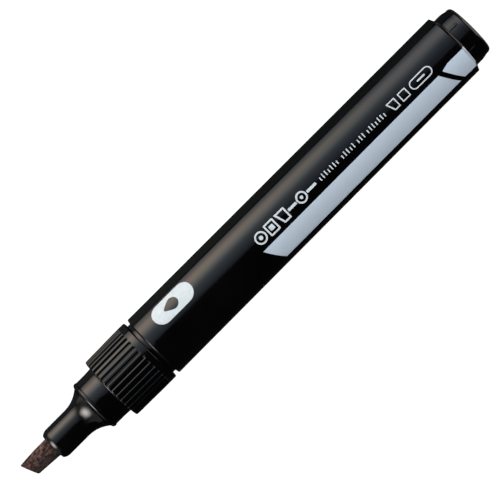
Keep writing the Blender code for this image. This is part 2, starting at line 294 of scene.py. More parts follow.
def groove_section():
    """(share of a rib pitch, share of the groove depth), from one groove's middle to the next."""
    pitch = 2 * math.pi * RIB_RADIUS / GRIP_RIBS
    half = [(0, 1), (GROOVE_HALF_WIDTH / pitch, 1)]
    for i in range(9):
        turn = math.pi / 2 * i / 8
        across = GROOVE_HALF_WIDTH + RIB_ROUNDING * (1 - math.cos(turn))
        half.append((across / pitch, RIB_ROUNDING * (1 - math.sin(turn)) / GROOVE_DEPTH))
    half.append((0.5, 0))
    return half + [(1 - share, depth) for share, depth in reversed(half[1:-1])]


def head_rings():
    """(radius, station, share of the rib depth) round the head, outside and then inside."""
    bead = 0.7 * MM
    bore = SLEEVE_RADIUS + EMBED
    front = [
        (bore + 0.05 * MM, HEAD_FRONT),
        (COLLAR_RADIUS - 0.6 * MM, HEAD_FRONT),
        *arc(COLLAR_RADIUS - 0.54 * MM, BEAD_CENTRE, bead, 82, -38, 14),
        (COLLAR_RADIUS, BEAD_CENTRE + 0.5 * MM),
        (COLLAR_RADIUS, RING_FRONT - 1.9 * MM),
        (COLLAR_RADIUS + 0.06 * MM, RING_FRONT - 0.8 * MM),
        *arc(COLLAR_RADIUS + 0.4 * MM, RING_FRONT - 0.3 * MM, -0.3 * MM, 15, 90, 5),
        (RIB_RADIUS - 0.9 * MM, RING_FRONT),
    ]
    taper = [(0.14, 0.22), (0.09, 1.2), (0.06, 4.4), (0.02, 6.9), (0.0, 9.3)]
    ribbed = [
        (RIB_RADIUS - 0.42 * MM, RING_FRONT, 0),
        (RIB_RADIUS - 0.33 * MM, RING_FRONT + 0.01 * MM, 0.3),
        (RIB_RADIUS - 0.24 * MM, RING_FRONT + 0.04 * MM, 0.6),
        (RIB_RADIUS - 0.18 * MM, RING_FRONT + 0.1 * MM, 0.85),
        *[(RIB_RADIUS - below * MM, RING_FRONT + behind * MM, 1) for below, behind in taper],
    ]
    for i in range(9):
        share = i / 8
        blend = 1 - share * share * (3 - 2 * share)
        ribbed.append((RIB_RADIUS, RIBS_END + (share - 0.5) * 0.22 * MM, blend))
    rear = [
        (RIB_RADIUS - 0.01 * MM, RING_REAR - 1 * MM),
        *arc(RIB_RADIUS - 0.21 * MM, RING_REAR - 0.2 * MM, 0.2 * MM, 0, -90, 6),
        (SKIRT_BORE_RADIUS + 0.15 * MM, RING_REAR),
        (SKIRT_BORE_RADIUS, RING_REAR - 0.15 * MM),
        (SKIRT_BORE_RADIUS, GASKET_SEAT),
        (bore, GASKET_SEAT),
        (bore, HEAD_FRONT + 0.05 * MM),
    ]
    return [(*ring, 0) for ring in front] + ribbed + [(*ring, 0) for ring in rear]


def make_head(black):
    """Collar with a snap bead, and a skirt whose rings dip into the grooves between the ribs."""
    section = groove_section()
    shape = bmesh.new()
    rings = []
    for radius, station, dip in head_rings():
        rings.append([shape.verts.new(place(station, radius - dip * depth * GROOVE_DEPTH,
                                            GRIP_RIB_TURN + 2 * math.pi * (rib + share) / GRIP_RIBS))
                      for rib in range(GRIP_RIBS) for share, depth in section])
    skin(shape, rings, closed=True)
    head = finish_mesh(shape, "head_shell", black)
    combine(head, [thread_ridge(SKIRT_BORE_RADIUS + EMBED, SKIRT_BORE_RADIUS - THREAD_DEPTH - EMBED / 2,
                                THREAD_FRONT + THREAD_PITCH / 2)])
    return head


def make_holder(black):
    """Nose with a rounded mouth, a flare and the sleeve that is pressed into the head."""
    mouth = 2.4 * MM
    mouth_angle = 40
    mouth_front = NOSE_FRONT + 0.08 * MM
    mouth_length = mouth * math.sin(math.radians(mouth_angle))
    rim = 0.08 * MM
    rim_radius = NOSE_RADIUS - mouth + (mouth - rim) * math.cos(math.radians(mouth_angle))
    rim_station = mouth_front + rim * math.sin(math.radians(mouth_angle))
    flare = []
    for i in range(25):
        share = i / 24
        flare.append((NOSE_RADIUS + (FLARE_RADIUS - NOSE_RADIUS) * share ** 2.35,
                      FLARE_START + (FLARE_END - 0.05 * MM - FLARE_START) * share))
    outline = [
        (0, rim_station - rim),
        *arc(rim_radius, rim_station, rim, 90, mouth_angle, 4)[:-1],
        *arc(NOSE_RADIUS - mouth, mouth_front + mouth_length, mouth, mouth_angle, 0, 12),
        (NOSE_RADIUS, NOSE_FRONT + 4 * MM),
        *flare,
        (FLARE_RADIUS - 0.06 * MM, FLARE_END),
        (SLEEVE_RADIUS, FLARE_END),
        (SLEEVE_RADIUS, 26.6 * MM),
        (3.6 * MM, 28.2 * MM),
        (3.5 * MM, HOLDER_REAR),
        (0, HOLDER_REAR),
    ]
    holder = turned("holder_shell", outline, black)
    room = 0.2 * MM
    slot = bar((NIB_THICKNESS + room, NIB_WIDTH + room, 2 * HOLDER_REAR), 0, HOLDER_REAR / 2, 0, 0.4 * MM)
    combine(holder, [slot], "DIFFERENCE")
    return holder


def posting_rib(front, angle):
    """Low rounded ridge along the plug that runs out into its surface at the rear."""
    half_turn = POSTING_RIB_WIDTH / 2 / PLUG_RADIUS
    sink = 0.03 * MM
    root = PLUG_RADIUS - 0.4 * MM
    shape = bmesh.new()
    rings = []
    for i in range(17):
        along = POSTING_RIB_LENGTH * i / 16
        share = max(0, (along - POSTING_RIB_LENGTH + POSTING_RIB_RUN_OUT) / POSTING_RIB_RUN_OUT)
        rise = POSTING_RIB_HEIGHT * (1 - share * share * 1.3)
        ring = []
        for k in range(13):
            across = 2 * k / 12 - 1
            radius = PLUG_RADIUS - sink + (rise + sink) * (1 - abs(across) ** 5)
            ring.append(shape.verts.new(place(front + along, radius, angle + across * half_turn)))
        for side in (1, -1):
            ring.append(shape.verts.new(place(front + along, root, angle + side * half_turn)))
        rings.append(ring)
    skin(shape, rings)
    shape.faces.new(rings[0])
    shape.faces.new(rings[-1])
    return finish_mesh(shape, "posting_rib")


def make_plug(black):
    """Tail plug with its posting ribs outside and the cross web that props the reservoir."""
    spigot = BORE_RADIUS - 0.05 * MM
    shoulder = BARREL_REAR + 0.1 * MM
    inside = spigot - 1 * MM
    outline = [
        (inside, PLUG_FRONT),
        (spigot - 0.2 * MM, PLUG_FRONT),
        (spigot, PLUG_FRONT + 0.3 * MM),
        (spigot, shoulder),
        (PLUG_RADIUS - 0.05 * MM, shoulder),
        (PLUG_RADIUS, shoulder + 0.05 * MM),
        (PLUG_RADIUS - 0.02 * MM, LENGTH - 3.2 * MM),
        (PLUG_RADIUS - 0.05 * MM, LENGTH - 2.4 * MM),
        (PLUG_RADIUS - 0.12 * MM, LENGTH - 1.7 * MM),
        *arc(PLUG_RADIUS - 1.16 * MM, LENGTH - 1.05 * MM, 0.99 * MM, 10, -78, 14),
        (5.2 * MM, LENGTH - 0.025 * MM),
        (4.4 * MM, LENGTH - 0.005 * MM),
        (3.6 * MM, LENGTH),
        (0, LENGTH),
        (0, LENGTH - 1.4 * MM),
        (inside, LENGTH - 1.8 * MM),
    ]
    plug = turned("plug_shell", outline, black)
    added = [posting_rib(shoulder, POSTING_RIB_ANGLE + 2 * math.pi * i / POSTING_RIBS)
             for i in range(POSTING_RIBS)]
    web_length = LENGTH - 1.5 * MM - PLUG_FRONT - 0.5 * MM
    for i in range(2):
        added.append(bar((0.8 * MM, 2 * inside + 1 * MM, web_length), 0,
                         PLUG_FRONT + 0.5 * MM + web_length / 2, i * math.pi / 2))
    combine(plug, added)
    return plug


# Nib

def nib_section(station):
    """Rounded rectangle as (across, up) points, the same number of them at every station."""
    corner = 0.22 * MM
    upper, lower = nib_sides(station)
    half_thickness = nib_half_thickness(station)
    corners = []
    for k, (side_y, side_z) in enumerate(((upper, 1), (-lower, 1), (-lower, -1), (upper, -1))):
        inwards = math.copysign(corner, side_y)
        arc_points = []
        for i in range(5):
            turn = math.pi / 2 * (k + i / 4)
            arc_points.append((side_y - inwards + corner * math.cos(turn),
                               side_z * (half_thickness - corner) + corner * math.sin(turn)))
        corners.append(arc_points)
    points = []
    for k in range(4):
        points += corners[k]
        a = corners[k][-1]
        b = corners[(k + 1) % 4][0]
        count = 26 if k % 2 == 0 else 12
        points += [(a[0] + (b[0] - a[0]) * i / count, a[1] + (b[1] - a[1]) * i / count)
                   for i in range(1, count)]
    return points


def nib_front(across):
    """How far the oblique writing edge lies behind the nib's point, at a place across it."""
    upper, lower = nib_sides(0)
    share = (upper - across) / (upper + lower)
    blunt = max(0, share - 0.93)
    return NIB_OBLIQUE * share * (0.8 + 0.2 * share) + 30 * MM * blunt ** 2


def nib_sides(station):
    """How far the nib reaches from the axis towards +Y and -Y; use has worn its writing end."""
    if station < NOSE_FRONT:
        upper = NIB_POINT_UPPER + (NIB_WIDTH / 2 - NIB_POINT_UPPER) * min(1, station / WEDGE_LENGTH) ** 0.8
        lower = NIB_POINT_LOWER + (NIB_WIDTH / 2 - NIB_POINT_LOWER) * station / NOSE_FRONT
        return upper, lower
    share = max(0, (station - NIB_TAIL + NIB_TAPER) / NIB_TAPER)
    half = NIB_WIDTH / 2 + (NIB_TAIL_HALF - NIB_WIDTH / 2) * share
    return half, half


def nib_half_thickness(station):
    share = max(0, 1 - station / WEDGE_LENGTH)
    return (NIB_THICKNESS + (NIB_TIP_THICKNESS - NIB_THICKNESS) * share) / 2


def felt_rise(point):
    """Unevenness of the felt: long shallow fibres and a finer grain."""
    fibre = noise.noise(Vector((point.x / 1.1, point.y / 0.22, point.z / 0.22)) / MM)
    grain = noise.noise(Vector((point.x / 0.28, point.y / 0.12, point.z / 0.12)) / MM)
    return (0.016 * fibre + 0.012 * grain) * MM


def make_nib(felt):
    """Felt bar lofted from rounded sections, with an oblique blunt end and a tapered tail."""
    edge = 0.07 * MM
    shape = bmesh.new()
    rings = []
    tip_section = nib_section(0)
    centre = shape.verts.new((TIP + nib_front(0), 0, AXIS_Z))
    rings.append([centre])
    for shrink in (0.2, 0.4, 0.6, 0.78, 0.9, 0.97):
        setback = edge * max(0, shrink - 0.78) ** 2 * 8
        rings.append([shape.verts.new((TIP + nib_front(across * shrink) + setback, across * shrink,
                                       AXIS_Z + up * shrink)) for across, up in tip_section])
    fine = 56
    fine_end = NOSE_FRONT * 1.06
    for i in range(fine + 1):
        station = fine_end * i / fine
        ring = []
        for across, up in nib_section(station):
            start = nib_front(across) + edge
            ring.append(shape.verts.new((TIP + start + (fine_end - start) * i / fine, across, AXIS_Z + up)))
        rings.append(ring)
    for station in (12 * MM, HOLDER_REAR, NIB_TAIL - NIB_TAPER, NIB_TAIL):
        rings.append([shape.verts.new((TIP + station, across, AXIS_Z + up))
                      for across, up in nib_section(station)])
    skin(shape, rings)
    shape.faces.new(rings[-1])
    bmesh.ops.recalc_face_normals(shape, faces=shape.faces)
    shape.normal_update()
    rises = [(vert, vert.normal * felt_rise(vert.co)) for vert in shape.verts if vert.co.x < TIP + fine_end]
    for vert, rise in rises:
        vert.co += rise
        vert.co.x = max(vert.co.x, TIP)
    return finish_mesh(shape, "felt_nib", felt)


# Print

def rounded_bar(x0, x1, a0, a1, corner, steps=4):
    """One outline: a bar with rounded corners."""
    points = []
    for k, (x, a) in enumerate(((x1 - corner, a1 - corner), (x0 + corner, a1 - corner),
                                (x0 + corner, a0 + corner), (x1 - corner, a0 + corner))):
        for i in range(steps + 1):
            turn = math.pi / 2 * (k + i / steps)
            points.append((x + corner * math.cos(turn), a + corner * math.sin(turn)))
    return [points]


def between(outer, inner):
    """The band between two outlines with the same number of points, as one quad for each side."""
    count = len(outer)
    return [[outer[i], outer[(i + 1) % count], inner[(i + 1) % count], inner[i]] for i in range(count)]


def circle(x, a, radius, sides=28):
    turns = [2 * math.pi * i / sides for i in range(sides)]
    return [(x + radius * math.cos(turn), a + radius * math.sin(turn)) for turn in turns]


def frame_sign(x0, x1, middle, half, corner, stroke=0.4):
    """Outline of a rounded rectangle or, with corner equal to half, of a ring or capsule."""
    outer = rounded_bar(x0, x1, middle - half, middle + half, corner, 8)[0]
    inner_corner = max(0.05, corner - stroke)
    inner = rounded_bar(x0 + stroke, x1 - stroke, middle - half + stroke, middle + half - stroke,
                        inner_corner, 8)[0]
    return between(outer, inner)


def wedge_sign(x0, x1, middle, half, stroke=0.4):
    """Outline of a chisel tip: a box with one slanted end towards the nib."""
    slant = 0.9
    low = middle - half
    high = middle + half
    outer = [(x0, low), (x1, low), (x1, high), (x0 + slant, high)]
    inner = [(x0 + 1.5 * stroke, low + stroke), (x1 - stroke, low + stroke),
             (x1 - stroke, high - stroke), (x0 + slant + 0.8 * stroke, high - stroke)]
    return between(outer, inner)


def drop(x, a, size, sides=28):
    """An ink drop whose point looks towards the nib."""
    points = []
    for i in range(sides):
        turn = 2 * math.pi * i / sides
        pull = max(0, -math.cos(turn)) ** 3
        points.append((x + size * (math.cos(turn) - 0.75 * pull),
                       a + size * math.sin(turn) * (1 - 0.35 * pull)))
    return points


def print_on_barrel(name, outlines, material):
    """A thin closed skin of print, cut into small faces and wrapped round the barrel."""
    flat = bmesh.new()
    for outline in outlines:
        flat.faces.new([flat.verts.new((x, a, 0)) for x, a in outline])
    bmesh.ops.remove_doubles(flat, verts=flat.verts, dist=1e-5)
    bmesh.ops.triangulate(flat, faces=flat.faces, ngon_method="EAR_CLIP")
    lows = [min(vert.co[i] for vert in flat.verts) for i in range(2)]
    highs = [max(vert.co[i] for vert in flat.verts) for i in range(2)]
    cuts = [(0, CUT_ALONG * k) for k in range(28)]
    cuts += [(0, LIP_FRONT / MM + CUT_LIP * k) for k in range(14)]
    cuts += [(1, CUT_ROUND * k) for k in range(-30, 30)]
    for axis, value in cuts:
        if lows[axis] < value < highs[axis]:
            normal = (1, 0, 0) if axis == 0 else (0, 1, 0)
            origin = (value, 0, 0) if axis == 0 else (0, value, 0)
            bmesh.ops.bisect_plane(flat, geom=flat.verts[:] + flat.edges[:] + flat.faces[:],
                                   plane_co=origin, plane_no=normal)
    flat.verts.index_update()
    shape = bmesh.new()
    layers = []
    for lift in (PRINT_LIFT, -PRINT_SINK):
        layer = []
        for vert in flat.verts:
            station = vert.co.x * MM
            turn = -vert.co.y / PRINT_RADIUS
            layer.append(shape.verts.new(place(station, barrel_radius(station) + lift, turn)))
        layers.append(layer)
    for face in flat.faces:
        loop = [vert.index for vert in face.verts]
        shape.faces.new([layers[0][i] for i in loop])
        shape.faces.new([layers[1][i] for i in reversed(loop)])
    for edge in flat.edges:
        if len(edge.link_faces) == 1:
            a, b = (vert.index for vert in edge.verts)
            shape.faces.new([layers[0][a], layers[0][b], layers[1][b], layers[1][a]])
    flat.free()
    piece = finish_mesh(shape, name, material)
    smooth(piece, 30)
    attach(piece, "barrel")
    return piece


def add_print(silver, white):
    """Silver band and tail patch, and white pictograms and tick marks that stand for wording."""
    band = [(70.97, 2.48), (125.1, 2.45), (128.1, 8.0), (74.05, 8.07)]
    print_on_barrel("band_print", [band], silver)
    patch = [(126.4, 2.37), (128.3, 1.87), (133.5, 1.9), (133.45, 8.06), (129.4, 8.0)]
    print_on_barrel("patch_print", [patch], silver)

    badge = rounded_bar(43.45, 54.75, -6.4, -1.3, 2.5, 8)[0]
    sides = len(badge)
    hole = drop(49.1, -3.85, 1.45, sides)
    print_on_barrel("badge_print", between(badge, hole), white)

    middle = -0.05
    signs = frame_sign(71.3, 74.3, middle, 1.5, 1.5) + [circle(72.8, middle, 0.5, 16)]
    signs += frame_sign(74.7, 77.5, middle, 1.55, 0.3)
    signs += rounded_bar(75.5, 76.7, middle - 0.6, middle + 0.6, 0.2)
    signs += wedge_sign(78.0, 80.9, middle, 1.5)
    signs += rounded_bar(81.2, 83.7, middle - 0.32, middle + 0.32, 0.1)
    signs += frame_sign(83.9, 86.7, middle, 1.4, 1.4) + [circle(85.3, middle, 0.4, 16)]
    signs += rounded_bar(86.9, 89.7, middle - 0.32, middle + 0.32, 0.1)
    print_on_barrel("sign_print", signs, white)

    ticks = []
    for start, count in ((90.9, 7), (97.7, 5), (102.5, 3), (105.5, 7)):
        for i in range(count):
            x = start + 0.86 * i
            top = middle - (0.62 if i % 3 else 0.3)
            ticks += rounded_bar(x, x + 0.27, top, middle + 0.58, 0.05, 2)
    print_on_barrel("tick_print", ticks, white)

    guide = wedge_sign(112.3, 114.8, middle, 1.2, 0.28)
    guide += frame_sign(115.7, 118.0, middle, 1.15, 0.2, 0.28)
    guide += frame_sign(118.9, 125.2, middle, 1.2, 1.2, 0.28)
    guide += rounded_bar(120.9, 123.2, middle - 0.2, middle + 0.2, 0.1)
    print_on_barrel("guide_print", guide, white)


# Materials

def new_material(name, colour, roughness, metallic=0.0):
    material = bpy.data.materials.new(name)
    material.use_nodes = True
    shader = material.node_tree.nodes["Principled BSDF"]
    shader.inputs["Base Color"].default_value = (*colour, 1)
    shader.inputs["Roughness"].default_value = roughness
    shader.inputs["Metallic"].default_value = metallic
    return material, material.node_tree, shader


def add_noise(tree, scale, detail=2.0, stretch=(1, 1, 1)):
    """Noise in the piece's own space; a small stretch value draws it out along that axis."""
    coordinates = tree.nodes.new("ShaderNodeTexCoord")
    mapping = tree.nodes.new("ShaderNodeMapping")
    mapping.inputs["Scale"].default_value = stretch
    texture = tree.nodes.new("ShaderNodeTexNoise")
    texture.inputs["Scale"].default_value = scale
    texture.inputs["Detail"].default_value = detail
    tree.links.new(coordinates.outputs["Object"], mapping.inputs["Vector"])
    tree.links.new(mapping.outputs["Vector"], texture.inputs["Vector"])
    return texture.outputs["Fac"]


def map_range(tree, value, source, target=(0.0, 1.0), interpolation="LINEAR"):
    """Map a value from one pair of limits to another."""
    step = tree.nodes.new("ShaderNodeMapRange")
    step.interpolation_type = interpolation
    for i, end in enumerate(("Min", "Max")):
        step.inputs["From " + end].default_value = source[i]
        step.inputs["To " + end].default_value = target[i]
    tree.links.new(value, step.inputs["Value"])
    return step.outputs["Result"]


def add_range(tree, value, low, high, spread=0.2):
    """Spread the middle of a noise over a range of values."""
    return map_range(tree, value, (0.5 - spread, 0.5 + spread), (low, high))


def add_mix(tree, factor, first, second):
    """Mix two colours. Each is either three numbers or another node's output."""
    mix = tree.nodes.new("ShaderNodeMix")
    mix.data_type = "RGBA"
    tree.links.new(factor, mix.inputs["Factor"])
    for name, colour in (("A", first), ("B", second)):
        if isinstance(colour, bpy.types.NodeSocket):
            tree.links.new(colour, mix.inputs[name])
        else:
            mix.inputs[name].default_value = (*colour, 1)
    return mix.outputs["Result"]


def math_node(tree, operation, first, second=None, fixed=None):
    step = tree.nodes.new("ShaderNodeMath")
    step.operation = operation
    tree.links.new(first, step.inputs[0])
    if second:
        tree.links.new(second, step.inputs[1])
    if fixed is not None:
        step.inputs[1].default_value = fixed
    return step.outputs["Value"]


def split_place(tree):
    """The X, Y and Z outputs of a point's place in the piece's own space."""
    coordinates = tree.nodes.new("ShaderNodeTexCoord")
    split = tree.nodes.new("ShaderNodeSeparateXYZ")
    tree.links.new(coordinates.outputs["Object"], split.inputs["Vector"])
    return split.outputs


def add_bump(tree, shader, height, strength, distance):
    bump = tree.nodes.new("ShaderNodeBump")
    bump.inputs["Strength"].default_value = strength
    bump.inputs["Distance"].default_value = distance
    tree.links.new(height, bump.inputs["Height"])
    tree.links.new(bump.outputs["Normal"], shader.inputs["Normal"])


def plastic_material():
    """Glossy black moulding: faint handling haze, fine lengthwise marks and a slight ripple."""
    material, tree, shader = new_material("black_plastic", (0.0005, 0.0005, 0.0006), 0.15)
    haze = add_range(tree, add_noise(tree, 90, 3), 0.0, 1.0)
    marks = add_noise(tree, 2600, 2, (0.05, 1, 1))
    dull = add_range(tree, haze, 0.12, 0.17, 0.5)
    scuffed = math_node(tree, "ADD", dull, add_range(tree, marks, -0.02, 0.02))
    tree.links.new(scuffed, shader.inputs["Roughness"])
    colour = add_mix(tree, haze, (0.0003, 0.0003, 0.0004), (0.0008, 0.0008, 0.001))
    tree.links.new(colour, shader.inputs["Base Color"])
    add_bump(tree, shader, add_noise(tree, 900, 2), 0.04, 0.05 * MM)
    return material


def felt_material():
    """Pressed felt soaked with ink: dark pores between brown fibres, painted shade towards -Y and darker
    towards the tip.
    """
    material, tree, shader = new_material("nib_felt", (0.04, 0.025, 0.02), 0.9)
    fibres = add_range(tree, add_noise(tree, 2600, 5, (0.45, 1, 1)), 0.0, 1.0, 0.1)
    clumps = add_range(tree, add_noise(tree, 900, 2, (0.6, 1, 1)), 0.0, 1.0, 0.18)
    # Painted shade: lit and dim are lit and shaded copies of the felt colour, so the felt is lighter towards
    # +Y, where the light comes from, and darker towards -Y; the same mix also darkens it towards the tip.
    lit = add_mix(tree, clumps, (0.055, 0.035, 0.031), (0.125, 0.066, 0.053))
    dim = add_mix(tree, clumps, (0.001, 0.001, 0.001), (0.006, 0.005, 0.005))
    place_of = split_place(tree)
    side = map_range(tree, place_of["Y"], (-NIB_WIDTH * 0.45, NIB_WIDTH * 0.4))
    along = map_range(tree, place_of["X"], (TIP, TIP + 3.5 * MM), (0.6, 1.0))
    shade = add_mix(tree, math_node(tree, "MULTIPLY", side, along), dim, lit)
    tree.links.new(add_mix(tree, fibres, (0.005, 0.004, 0.004), shade), shader.inputs["Base Color"])
    add_bump(tree, shader, add_noise(tree, 4200, 5, (0.35, 1, 1)), 0.6, 0.08 * MM)
    shader.inputs["Specular IOR Level"].default_value = 0.2
    return material


def silver_material():
    """Silver printing ink: fine metal flakes in a satin lacquer."""
    material, tree, shader = new_material("silver_print", (0.4, 0.46, 0.53), 0.4, 0.3)
    flakes = add_range(tree, add_noise(tree, 9000, 1), 0.0, 1.0, 0.3)
    colour = add_mix(tree, flakes, (0.431, 0.51, 0.602), (0.498, 0.594, 0.684))
    tree.links.new(colour, shader.inputs["Base Color"])
    tree.links.new(add_range(tree, add_noise(tree, 300, 2), 0.34, 0.46), shader.inputs["Roughness"])
    add_bump(tree, shader, flakes, 0.05, 0.01 * MM)
    return material


def white_material():
    """White printing ink with slight unevenness in its coverage."""
    material, tree, shader = new_material("white_print", (0.4, 0.42, 0.44), 0.45)
    cover = add_range(tree, add_noise(tree, 1500, 3), 0.0, 1.0)
    colour = add_mix(tree, cover, (0.325, 0.366, 0.393), (0.378, 0.423, 0.451))
    tree.links.new(colour, shader.inputs["Base Color"])
    tree.links.new(add_range(tree, add_noise(tree, 500, 2), 0.4, 0.55), shader.inputs["Roughness"])
    return material


def inner_material(name, colour, roughness, scale, stretch, bump):
    """Plain look of a piece inside the marker, with its own grain."""
    material, tree, shader = new_material(name, colour, roughness)
    grain = add_range(tree, add_noise(tree, scale, 3, stretch), 0.0, 1.0)
    dark = [part * 0.7 for part in colour]
    light = [min(1, part * 1.25) for part in colour]
    tree.links.new(add_mix(tree, grain, dark, light), shader.inputs["Base Color"])
    rough = add_range(tree, grain, roughness - 0.05, roughness + 0.05, 0.5)
    tree.links.new(rough, shader.inputs["Roughness"])
    add_bump(tree, shader, grain, 0.3, bump)
    return material


# Studio

def glowing_material(name, strength):
    """A panel's material, which shines: its node tree and its emission node."""
    material = bpy.data.materials.new(name)
    material.use_nodes = True
    tree = material.node_tree
    tree.nodes.clear()
    glow = tree.nodes.new("ShaderNodeEmission")
    output = tree.nodes.new("ShaderNodeOutputMaterial")
    glow.inputs["Strength"].default_value = strength
    tree.links.new(glow.outputs["Emission"], output.inputs["Surface"])
    return material, tree, glow


def stage_panel(panel):
    """Light the marker from a panel that the camera doesn't see."""
    panel.visible_camera = False
    panel.visible_shadow = False


def angle_ramp(tree, share, stops):
    """A colour that changes with the angle; stops are (degrees, colour)."""
    ramp = tree.nodes.new("ShaderNodeValToRGB")
    elements = ramp.color_ramp.elements
    while len(elements) < len(stops):
        elements.new(0.5)
    for element, (degrees, colour) in zip(elements, stops):
        element.position = degrees / 180
    for element, (degrees, colour) in zip(elements, stops):
        element.color = (*colour, 1)
    tree.links.new(share, ramp.inputs["Fac"])
    return ramp.outputs["Color"]


def between_stops(x, stops):
    """Straight-line value at x from (x, value) pairs."""
    for (x0, v0), (x1, v1) in zip(stops, stops[1:]):
        if x <= x1:
            return v0 + (v1 - v0) * min(1, max(0, (x - x0) / (x1 - x0)))
    return stops[-1][1]


def curved_panel(name, axis, radius, centre, span, edges, stops, far_stops=None, fade=None, ends_fade=None):
    """Softbox bent round the marker. Its angle is from straight up towards +Y (axis X) or from
    straight up towards +X (axis Y). edges lists (place along the axis, start angle, end angle).
    far_stops are the colours towards +X, reached between the two places in fade.
    ends_fade is (middle, start, end): the panel dims between start and end away from the middle."""
    low, high = span
    columns = 48
    rows = 32
    starts = [(place_along, start) for place_along, start, end in edges]
    ends = [(place_along, end) for place_along, start, end in edges]
    shape = bmesh.new()
    rings = []
    for i in range(rows + 1):
        ring = []
        for k in range(columns + 1):
            along = low + (high - low) * k / columns
            start = between_stops(along, starts)
            turn = math.radians(start + (between_stops(along, ends) - start) * i / rows)
            side = radius * math.sin(turn)
            up = radius * math.cos(turn)
            ring.append(shape.verts.new((along, side, up) if axis == "X" else (side, along, up)))
        rings.append(ring)
    for a, b in zip(rings, rings[1:]):
        for k in range(columns):
            shape.faces.new((a[k], b[k], b[k + 1], a[k + 1]))
    material, tree, glow = glowing_material(name, FULL_STRENGTH)
    place_of = split_place(tree)
    turn = math_node(tree, "ARCTAN2", place_of["Y" if axis == "X" else "X"], place_of["Z"])
    share = math_node(tree, "DIVIDE", math_node(tree, "ABSOLUTE", turn), fixed=math.pi)
    colour = angle_ramp(tree, share, stops)
    if far_stops:
        far_colour = angle_ramp(tree, share, far_stops)
        colour = add_mix(tree, map_range(tree, place_of["X"], fade), colour, far_colour)
    tree.links.new(colour, glow.inputs["Color"])
    if ends_fade:
        middle, start, end = ends_fade
        away = math_node(tree, "ABSOLUTE", math_node(tree, "SUBTRACT", place_of["X"], fixed=middle))
        strengths = (FULL_STRENGTH, FULL_STRENGTH * END_SHARE)
        tree.links.new(map_range(tree, away, (start, end), strengths, "SMOOTHSTEP"), glow.inputs["Strength"])
    panel = finish_mesh(shape, name, material)
    panel.location = centre
    stage_panel(panel)


def make_side_light(centre):
    """The big softbox on the +Y side: grey near the zenith, warm and bright at 66 degrees. Towards
    the tail it is dimmer and cooler, and it reaches further over the top. Both its ends fade."""
    front = [(8, (0.045, 0.053, 0.062)), (25, (0.097, 0.113, 0.133)), (35, (0.142, 0.157, 0.17)),
             (41, (0.215, 0.232, 0.237)), (48, (0.355, 0.36, 0.35)), (55, (0.52, 0.50, 0.46)),
             (66, (0.73, 0.60, 0.49)), (73, (0.68, 0.56, 0.46)), (85, (0.34, 0.32, 0.30)),
             (94, (0.24, 0.23, 0.22)), (99, (0.12, 0.11, 0.1))]
    top_dimming = (0.74, 0.77, 0.82)
    peak_dimming = (0.47, 0.55, 0.64)
    rear = []
    for degrees, colour in front:
        share = min(1, max(0, (degrees - 41) / 20))
        rear.append((degrees, [part * (top + (peak - top) * share)
                               for part, top, peak in zip(colour, top_dimming, peak_dimming)]))
    edges = [(-0.6, 1, 98), (-0.095, 1, 98), (-0.075, 7, 98), (-0.056, 8, 97), (0.095, -2.6, 94.5),
             (0.6, -2.6, 94.5)]
    curved_panel("side_softbox", "X", 0.45, centre, (-0.6, 0.6), edges, front, rear, (-0.02, 0.07),
                 (0.0, 0.13, 0.4))


def make_reflectors(centre):
    """Dim cards: below the +Y side, behind the tail, and two in front of the nib."""
    below = [(104, (0.026, 0.027, 0.027)), (120, (0.018, 0.019, 0.019)), (140, (0.010, 0.011, 0.011)),
             (165, (0.002, 0.002, 0.002))]
    below_rear = [(104, (0.012, 0.013, 0.0135)), (120, (0.0078, 0.0085, 0.009)),
                  (140, (0.0042, 0.0048, 0.005)), (165, (0.001, 0.001, 0.001))]
    curved_panel("low_reflector", "X", 0.45, centre, (-0.6, 0.6), [(0, 104, 165), (1, 104, 165)], below,
                 below_rear, (-0.03, 0.05))
    tail = [(42, (0.02, 0.018, 0.018)), (54, (0.23, 0.206, 0.196)), (72, (0.34, 0.30, 0.288)),
            (100, (0.29, 0.26, 0.25)), (112, (0.1, 0.09, 0.088)), (125, (0.05, 0.048, 0.048)),
            (145, (0.04, 0.04, 0.04)), (155, (0.01, 0.01, 0.01))]
    curved_panel("tail_reflector", "Y", 0.4, (0.06, 0, AXIS_Z), (-0.22, 0.25),
                 [(0, 42, 155), (1, 42, 155)], tail)
    front = [(92, (0.06, 0.057, 0.054)), (115, (0.12, 0.113, 0.106))]
    curved_panel("front_reflector", "Y", 0.4, (-0.05, 0, AXIS_Z), (-0.22, 0.5),
                 [(0, -92, -115), (1, -92, -115)], front)
    front_card = [(30, (0.01, 0.011, 0.012)), (45, (0.019, 0.021, 0.022)), (60, (0.046, 0.052, 0.054)),
                  (92, (0.045, 0.05, 0.052)), (115, (0.03, 0.032, 0.033))]
    curved_panel("front_card", "Y", 0.6, (-0.05, 0, AXIS_Z), (-0.6, 0.6),
                 [(0, -30, -115), (1, -30, -115)], front_card)


